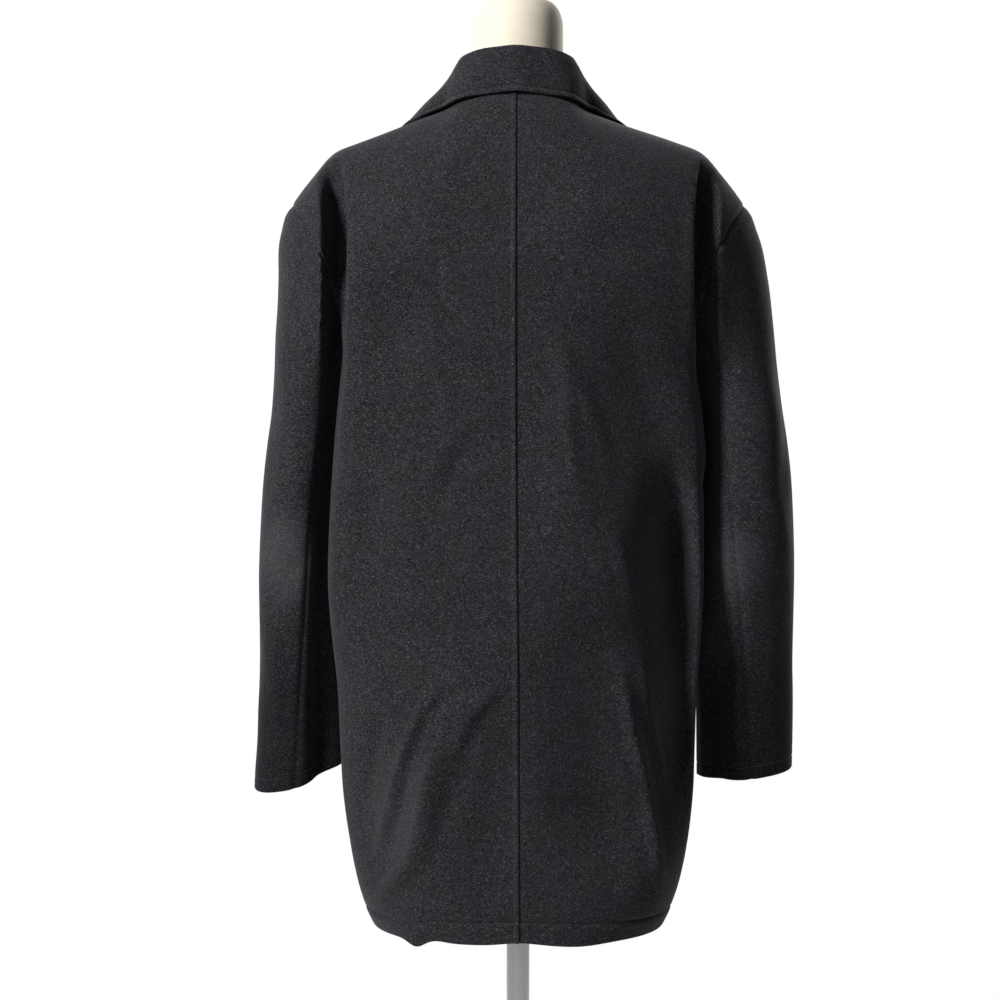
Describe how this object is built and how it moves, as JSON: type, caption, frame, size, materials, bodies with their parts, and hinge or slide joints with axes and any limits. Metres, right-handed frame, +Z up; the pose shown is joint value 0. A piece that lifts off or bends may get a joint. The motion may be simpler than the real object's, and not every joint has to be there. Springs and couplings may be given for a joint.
{
  "type": "single-breasted wool coat on a limbless dress form",
  "caption": "Straight car-length coat in charcoal melton with notched lapels, set-in sleeves and a back seam, standing on a cloth-covered dress form with a pole and a round base.",
  "frame": {"origin": "centre of the round base's underside, on the floor", "axes": "+Z up the pole through the form's neck, -Y the way the coat's front faces, +X to the coat's left side"},
  "size_m": [0.6056, 0.4, 1.6058],
  "materials": {
    "charcoal_wool": "heathered melton wool, milled and matt, with fine light and dark flecks",
    "dark_horn": "polished dark horn",
    "cream_linen": "plain-woven cream linen, stretched smooth",
    "white_paint": "smooth satin white paint"
  },
  "bodies": {
    "root": {"back_left": "charcoal_wool", "back_right": "charcoal_wool", "front_left": "charcoal_wool", "front_right": "charcoal_wool", "lapel_left": "charcoal_wool", "lapel_right": "charcoal_wool", "collar": "charcoal_wool", "sleeve_top_left": "charcoal_wool", "sleeve_under_left": "charcoal_wool", "sleeve_top_right": "charcoal_wool", "sleeve_under_right": "charcoal_wool", "button_1": "dark_horn", "button_2": "dark_horn", "button_3": "dark_horn", "form_torso": "cream_linen", "form_neck": "cream_linen", "form_cap": "white_paint", "stand_pole": "white_paint", "stand_base": "white_paint"}
  },
  "joints": []
}
